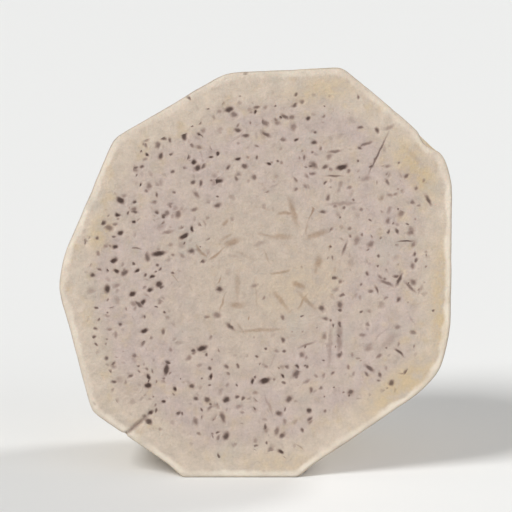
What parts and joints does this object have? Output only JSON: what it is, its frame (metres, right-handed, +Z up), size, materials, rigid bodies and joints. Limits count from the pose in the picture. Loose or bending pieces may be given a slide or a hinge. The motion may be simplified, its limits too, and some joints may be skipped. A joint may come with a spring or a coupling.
{
  "type": "peeled taro root half",
  "caption": "Peeled half of a small taro root: a flat cut face and a rounded tip shaped by knife strokes, standing on a peeled flat.",
  "frame": {"origin": "on the surface that the half stands on, under the middle of its bounding box", "axes": "+Z up, square to the flat that it stands on; -Y towards the side that the cut face looks to, which leans back by 10 degrees; +Y towards the rounded tip; +X to the right when looking at the cut face"},
  "size_m": [0.0506, 0.0322, 0.0517],
  "materials": {
    "taro_flesh": "matte"
  },
  "bodies": {
    "root": {"taro_half": "taro_flesh"}
  },
  "joints": []
}
